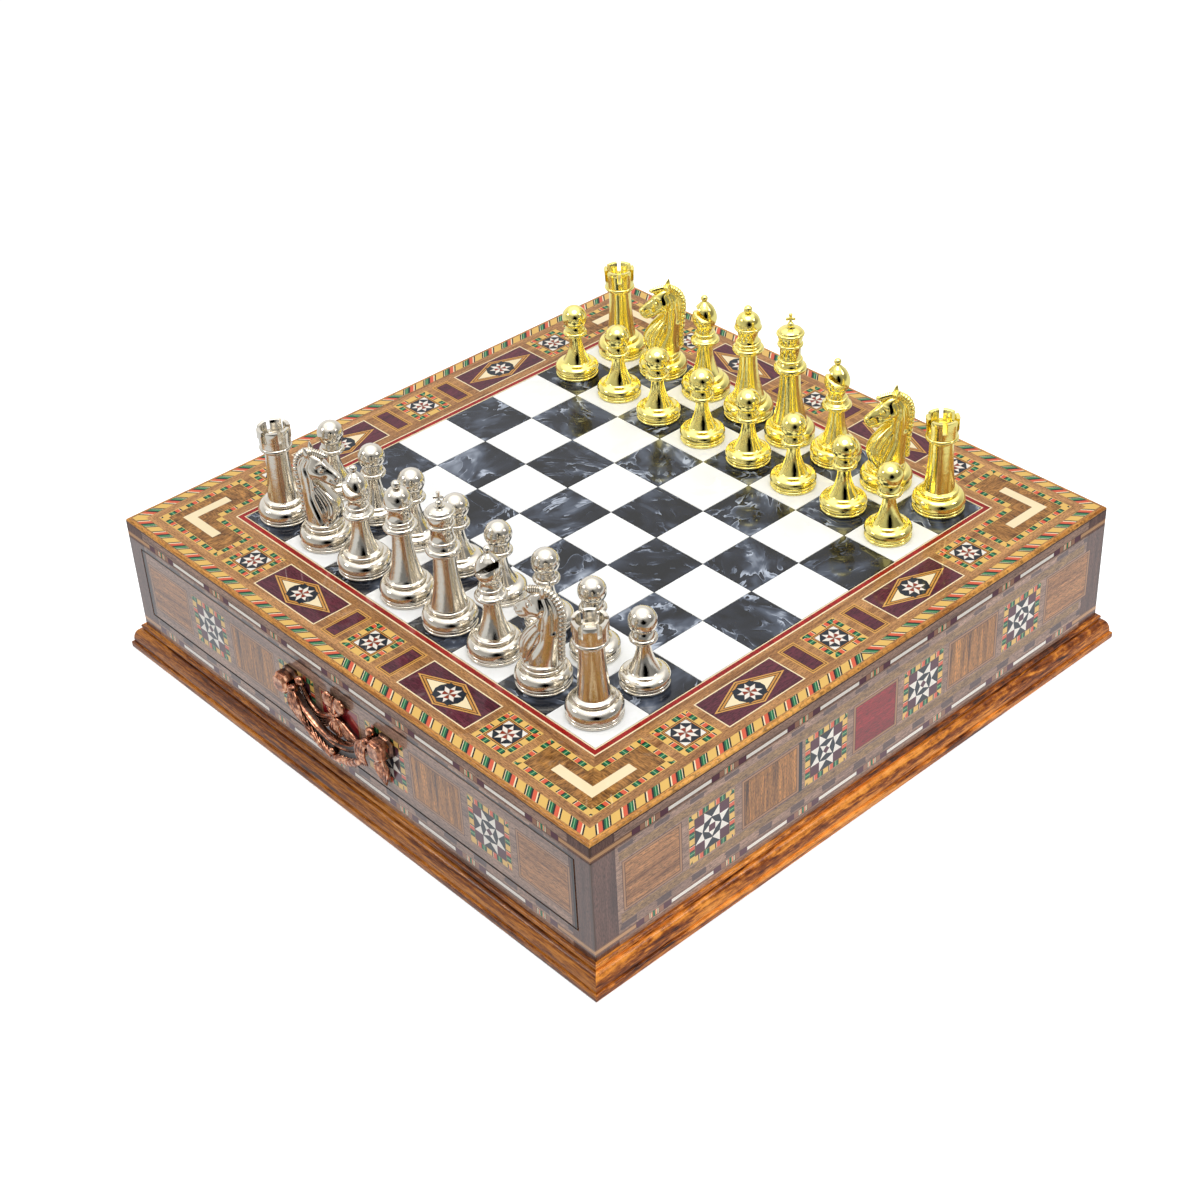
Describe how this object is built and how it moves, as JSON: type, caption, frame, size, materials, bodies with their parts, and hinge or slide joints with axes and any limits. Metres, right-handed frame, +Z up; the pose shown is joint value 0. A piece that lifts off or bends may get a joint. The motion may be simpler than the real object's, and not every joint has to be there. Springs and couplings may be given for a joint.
{
  "type": "chess box with drawers",
  "caption": "Square marquetry chess box on a moulded plinth, with a drawer at the front and back on swinging bail handles, and its silver and gold chessmen.",
  "frame": {"origin": "middle of the box's foot, on the surface it stands on", "axes": "+Z up through the board, +X to the right of the silver player, +Y from the silver player's drawer to the gold player's"},
  "size_m": [0.389, 0.393, 0.1661],
  "materials": {
    "walnut": "lacquered, glossy",
    "square_light": "glossy",
    "square_dark": "glossy pearl",
    "stringing": "glossy",
    "mosaic": "lacquered, glossy",
    "marquetry_front": "lacquered, satin gloss",
    "marquetry_side": "lacquered, satin gloss",
    "plinth_walnut": "lacquered, glossy",
    "inner_wood": "plain, matt",
    "velvet": "matt pile",
    "copper": "antiqued copper, polished on its high spots",
    "steel": "plated",
    "silver": "polished",
    "gold": "polished"
  },
  "bodies": {
    "case": {"top_panel": "walnut", "light_squares": "square_light", "dark_squares": "square_dark", "stringing": "stringing", "mosaic_border": "mosaic", "front_frame": "marquetry_front", "rear_frame": "marquetry_front", "left_side": "marquetry_side", "right_side": "marquetry_side", "centre_divider": "inner_wood", "bottom_panel": "inner_wood", "plinth_moulding": "plinth_walnut"},
    "front_drawer": {"front_drawer_face": "marquetry_front", "front_drawer_walls": "inner_wood", "front_drawer_bottom": "inner_wood", "front_drawer_lining": "velvet", "front_handle_plate": "copper", "front_handle_posts": "copper", "front_handle_screws": "steel"},
    "front_bail": {"front_handle_bail": "copper"},
    "rear_drawer": {"rear_drawer_face": "marquetry_front", "rear_drawer_walls": "inner_wood", "rear_drawer_bottom": "inner_wood", "rear_drawer_lining": "velvet", "rear_handle_plate": "copper", "rear_handle_posts": "copper", "rear_handle_screws": "steel"},
    "rear_bail": {"rear_handle_bail": "copper"},
    "silver_rook_a": {"silver_rook_a": "silver"},
    "silver_knight_b": {"silver_knight_b": "silver"},
    "silver_bishop_c": {"silver_bishop_c": "silver"},
    "silver_queen_d": {"silver_queen_d": "silver"},
    "silver_king_e": {"silver_king_e": "silver"},
    "silver_bishop_f": {"silver_bishop_f": "silver"},
    "silver_knight_g": {"silver_knight_g": "silver"},
    "silver_rook_h": {"silver_rook_h": "silver"},
    "silver_pawn_a": {"silver_pawn_a": "silver"},
    "silver_pawn_b": {"silver_pawn_b": "silver"},
    "silver_pawn_c": {"silver_pawn_c": "silver"},
    "silver_pawn_d": {"silver_pawn_d": "silver"},
    "silver_pawn_e": {"silver_pawn_e": "silver"},
    "silver_pawn_f": {"silver_pawn_f": "silver"},
    "silver_pawn_g": {"silver_pawn_g": "silver"},
    "silver_pawn_h": {"silver_pawn_h": "silver"},
    "gold_rook_a": {"gold_rook_a": "gold"},
    "gold_knight_b": {"gold_knight_b": "gold"},
    "gold_bishop_c": {"gold_bishop_c": "gold"},
    "gold_queen_d": {"gold_queen_d": "gold"},
    "gold_king_e": {"gold_king_e": "gold"},
    "gold_bishop_f": {"gold_bishop_f": "gold"},
    "gold_knight_g": {"gold_knight_g": "gold"},
    "gold_rook_h": {"gold_rook_h": "gold"},
    "gold_pawn_a": {"gold_pawn_a": "gold"},
    "gold_pawn_b": {"gold_pawn_b": "gold"},
    "gold_pawn_c": {"gold_pawn_c": "gold"},
    "gold_pawn_d": {"gold_pawn_d": "gold"},
    "gold_pawn_e": {"gold_pawn_e": "gold"},
    "gold_pawn_f": {"gold_pawn_f": "gold"},
    "gold_pawn_g": {"gold_pawn_g": "gold"},
    "gold_pawn_h": {"gold_pawn_h": "gold"}
  },
  "joints": [
    {"name": "front_drawer_slide", "type": "slide", "parent": "case", "child": "front_drawer", "axis": [0, -1, 0], "range_m": [0, 0.15]},
    {"name": "rear_drawer_slide", "type": "slide", "parent": "case", "child": "rear_drawer", "axis": [0, 1, 0], "range_m": [0, 0.15]},
    {"name": "front_bail_swing", "type": "hinge", "parent": "front_drawer", "child": "front_bail", "pos_m": [0, -0.1932, 0.05905], "axis": [-1, 0, 0], "range_deg": [0, 95]},
    {"name": "rear_bail_swing", "type": "hinge", "parent": "rear_drawer", "child": "rear_bail", "pos_m": [0, 0.1932, 0.05905], "axis": [1, 0, 0], "range_deg": [0, 95]},
    {"name": "silver_rook_a_lift", "type": "slide", "parent": "case", "child": "silver_rook_a", "axis": [0, 0, 1], "range_m": [0, 0.1]},
    {"name": "silver_knight_b_lift", "type": "slide", "parent": "case", "child": "silver_knight_b", "axis": [0, 0, 1], "range_m": [0, 0.1]},
    {"name": "silver_bishop_c_lift", "type": "slide", "parent": "case", "child": "silver_bishop_c", "axis": [0, 0, 1], "range_m": [0, 0.1]},
    {"name": "silver_queen_d_lift", "type": "slide", "parent": "case", "child": "silver_queen_d", "axis": [0, 0, 1], "range_m": [0, 0.1]},
    {"name": "silver_king_e_lift", "type": "slide", "parent": "case", "child": "silver_king_e", "axis": [0, 0, 1], "range_m": [0, 0.1]},
    {"name": "silver_bishop_f_lift", "type": "slide", "parent": "case", "child": "silver_bishop_f", "axis": [0, 0, 1], "range_m": [0, 0.1]},
    {"name": "silver_knight_g_lift", "type": "slide", "parent": "case", "child": "silver_knight_g", "axis": [0, 0, 1], "range_m": [0, 0.1]},
    {"name": "silver_rook_h_lift", "type": "slide", "parent": "case", "child": "silver_rook_h", "axis": [0, 0, 1], "range_m": [0, 0.1]},
    {"name": "silver_pawn_a_lift", "type": "slide", "parent": "case", "child": "silver_pawn_a", "axis": [0, 0, 1], "range_m": [0, 0.1]},
    {"name": "silver_pawn_b_lift", "type": "slide", "parent": "case", "child": "silver_pawn_b", "axis": [0, 0, 1], "range_m": [0, 0.1]},
    {"name": "silver_pawn_c_lift", "type": "slide", "parent": "case", "child": "silver_pawn_c", "axis": [0, 0, 1], "range_m": [0, 0.1]},
    {"name": "silver_pawn_d_lift", "type": "slide", "parent": "case", "child": "silver_pawn_d", "axis": [0, 0, 1], "range_m": [0, 0.1]},
    {"name": "silver_pawn_e_lift", "type": "slide", "parent": "case", "child": "silver_pawn_e", "axis": [0, 0, 1], "range_m": [0, 0.1]},
    {"name": "silver_pawn_f_lift", "type": "slide", "parent": "case", "child": "silver_pawn_f", "axis": [0, 0, 1], "range_m": [0, 0.1]},
    {"name": "silver_pawn_g_lift", "type": "slide", "parent": "case", "child": "silver_pawn_g", "axis": [0, 0, 1], "range_m": [0, 0.1]},
    {"name": "silver_pawn_h_lift", "type": "slide", "parent": "case", "child": "silver_pawn_h", "axis": [0, 0, 1], "range_m": [0, 0.1]},
    {"name": "gold_rook_a_lift", "type": "slide", "parent": "case", "child": "gold_rook_a", "axis": [0, 0, 1], "range_m": [0, 0.1]},
    {"name": "gold_knight_b_lift", "type": "slide", "parent": "case", "child": "gold_knight_b", "axis": [0, 0, 1], "range_m": [0, 0.1]},
    {"name": "gold_bishop_c_lift", "type": "slide", "parent": "case", "child": "gold_bishop_c", "axis": [0, 0, 1], "range_m": [0, 0.1]},
    {"name": "gold_queen_d_lift", "type": "slide", "parent": "case", "child": "gold_queen_d", "axis": [0, 0, 1], "range_m": [0, 0.1]},
    {"name": "gold_king_e_lift", "type": "slide", "parent": "case", "child": "gold_king_e", "axis": [0, 0, 1], "range_m": [0, 0.1]},
    {"name": "gold_bishop_f_lift", "type": "slide", "parent": "case", "child": "gold_bishop_f", "axis": [0, 0, 1], "range_m": [0, 0.1]},
    {"name": "gold_knight_g_lift", "type": "slide", "parent": "case", "child": "gold_knight_g", "axis": [0, 0, 1], "range_m": [0, 0.1]},
    {"name": "gold_rook_h_lift", "type": "slide", "parent": "case", "child": "gold_rook_h", "axis": [0, 0, 1], "range_m": [0, 0.1]},
    {"name": "gold_pawn_a_lift", "type": "slide", "parent": "case", "child": "gold_pawn_a", "axis": [0, 0, 1], "range_m": [0, 0.1]},
    {"name": "gold_pawn_b_lift", "type": "slide", "parent": "case", "child": "gold_pawn_b", "axis": [0, 0, 1], "range_m": [0, 0.1]},
    {"name": "gold_pawn_c_lift", "type": "slide", "parent": "case", "child": "gold_pawn_c", "axis": [0, 0, 1], "range_m": [0, 0.1]},
    {"name": "gold_pawn_d_lift", "type": "slide", "parent": "case", "child": "gold_pawn_d", "axis": [0, 0, 1], "range_m": [0, 0.1]},
    {"name": "gold_pawn_e_lift", "type": "slide", "parent": "case", "child": "gold_pawn_e", "axis": [0, 0, 1], "range_m": [0, 0.1]},
    {"name": "gold_pawn_f_lift", "type": "slide", "parent": "case", "child": "gold_pawn_f", "axis": [0, 0, 1], "range_m": [0, 0.1]},
    {"name": "gold_pawn_g_lift", "type": "slide", "parent": "case", "child": "gold_pawn_g", "axis": [0, 0, 1], "range_m": [0, 0.1]},
    {"name": "gold_pawn_h_lift", "type": "slide", "parent": "case", "child": "gold_pawn_h", "axis": [0, 0, 1], "range_m": [0, 0.1]}
  ]
}
